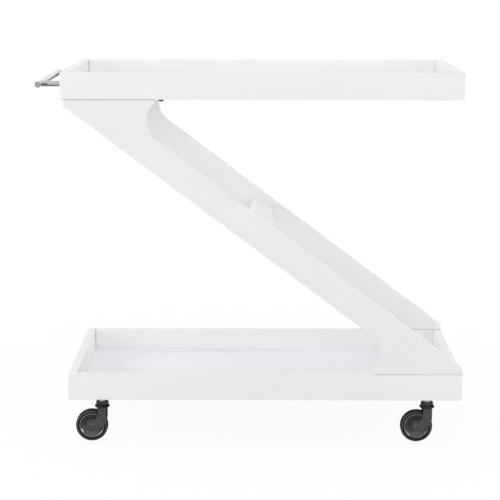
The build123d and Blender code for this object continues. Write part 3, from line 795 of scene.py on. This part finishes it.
def card(name, level, points):
    """A card through four points that only polished and lacquered surfaces show, glowing at that level."""
    finish = new_finish(name)
    show(finish, glow(finish, level))
    sheet = stage_sheet(name, points, name)
    sheet.visible_camera = False
    sheet.visible_diffuse = False
    sheet.visible_shadow = False


front_card_left = (-5.0, -5.2)
front_card_right = (5.0, -5.2)
front_card_split = 0.6
front_card_top = 2.8
low_front = upright_sheet(front_card_right, front_card_left, 0.0, front_card_split)
high_front = upright_sheet(front_card_right, front_card_left, front_card_split, front_card_top)
card("low_front_card", level=0.45, points=low_front)
card("front_card", level=0.80, points=high_front)

mat_height = 0.003
mat_half = 1.5
mat_front = -2.5
mat_split = -0.28
mat_back = 0.8
card("floor_card", level=0.50, points=level_sheet(mat_height, mat_half, mat_front, mat_split))
# Painted shade: the under card is a dark sheet for the gloss to mirror, standing for the shade on the floor
# under the cart.
card("under_card", level=0.06, points=level_sheet(mat_height, mat_half, mat_split, mat_back))

strip_foot = np.array([3.39, -2.12, 0.33])
strip_head = np.array([2.58, -2.53, 1.65])
strip_half = np.array([0.13, 0.17, 0.0])
for name, side in (("left_strip", -1.0), ("right_strip", 1.0)):
    foot = [strip_foot + side * strip_half, strip_foot - side * strip_half]
    head = [strip_head - side * strip_half, strip_head + side * strip_half]
    mirrored = np.array(foot + head) * (side, 1.0, 1.0)
    card(name, level=14.0, points=mirrored.tolist())

ceiling_height = 4.6
ceiling_half = 5.0
ceiling_front = -5.2
ceiling_back = 4.0
ceiling = level_sheet(ceiling_height, ceiling_half, ceiling_front, ceiling_back)
card("ceiling_card", level=0.80, points=ceiling)

side_card_x = 5.2
side_card_front = -5.2
side_card_back = 4.0
side_card_top = 3.0
for name, x in (("left_card", -side_card_x), ("right_card", side_card_x)):
    side_card = upright_sheet((x, side_card_front), (x, side_card_back), 0.0, side_card_top)
    card(name, level=0.05, points=side_card)

back_card_left = (-5.0, 5.6)
back_card_right = (5.0, 5.6)
back_card_top = 0.42
card("low_back_card", level=0.06, points=upright_sheet(back_card_left, back_card_right, 0.0, back_card_top))

fill_level = 0.15
world = bpy.data.worlds.new("studio")
bpy.context.scene.world = world
world.use_nodes = True
air = Finish(world.node_tree)
background = world.node_tree.nodes["Background"]
background.inputs["Color"].default_value = (1.0, 1.0, 1.0, 1.0)
strength = seen(air) * (1.0 - fill_level) + fill_level
air.tree.links.new(strength.socket, background.inputs["Strength"])

lamp_white = (1.0, 1.0, 1.0)
lamp_cool = (0.95, 0.965, 1.0)


def soft_box(name, place, width, height, power, colour=lamp_white):
    """A soft light aimed at the middle of the cart. The gloss shows the cards and not the lamp."""
    lamp = bpy.data.lights.new(name, "AREA")
    lamp.shape = "RECTANGLE"
    lamp.size = width
    lamp.size_y = height
    lamp.energy = power
    lamp.color = colour
    holder = bpy.data.objects.new(name, lamp)
    holder.location = place
    holder.rotation_mode = "QUATERNION"
    holder.rotation_quaternion = ((cad_low + cad_high) / 2 - Vector(place)).to_track_quat("-Z", "Y")
    holder.visible_camera = False
    holder.visible_glossy = False
    bpy.context.scene.collection.objects.link(holder)


soft_box("left_soft_box", place=(-3.4, -0.8, 1.3), width=1.6, height=1.6, power=57.0)
soft_box("right_soft_box", place=(3.4, -0.8, 1.3), width=1.6, height=1.6, power=49.0)
soft_box("front_soft_box", place=(0.0, -4.4, 1.5), width=3.0, height=1.2, power=46.0)
soft_box("front_top_soft_box", place=(0.0, -3.2, 3.4), width=4.0, height=2.0, power=31.0)
soft_box("back_left_soft_box", place=(-3.0, 2.4, 1.8), width=1.6, height=1.6, power=26.0)
soft_box("back_right_soft_box", place=(3.0, 2.4, 1.8), width=1.6, height=1.6, power=18.0)
soft_box("back_top_soft_box", place=(0.0, 2.4, 2.6), width=3.0, height=1.4, power=20.0)
soft_box("overhead_soft_box", place=(0.0, 0.0, 3.4), width=4.5, height=3.0, power=44.0, colour=lamp_cool)

# Camera: square-on to the front at a little above the upper tray, with a long lens.
# Its place, turn and focal length were solved from the trays' corners in the photo.

focal_pixels = 1715.5
frame_pixels = 500.0
sensor_width = 36.0
camera_place = (0.0103, -3.9192, 1.0738)
camera_pitch = -9.740
camera_yaw = 0.174
camera_roll = -0.108
lens = bpy.data.cameras.new("camera")
lens.sensor_width = sensor_width
lens.lens = focal_pixels / frame_pixels * sensor_width
camera = bpy.data.objects.new("camera", lens)
camera.matrix_world = (Matrix.Translation(camera_place)
                       @ Matrix.Rotation(radians(camera_yaw), 4, "Z")
                       @ Matrix.Rotation(radians(90.0 + camera_pitch), 4, "X")
                       @ Matrix.Rotation(radians(-camera_roll), 4, "Z"))
bpy.context.scene.collection.objects.link(camera)
bpy.context.scene.camera = camera
bpy.context.scene.view_settings.view_transform = "Standard"
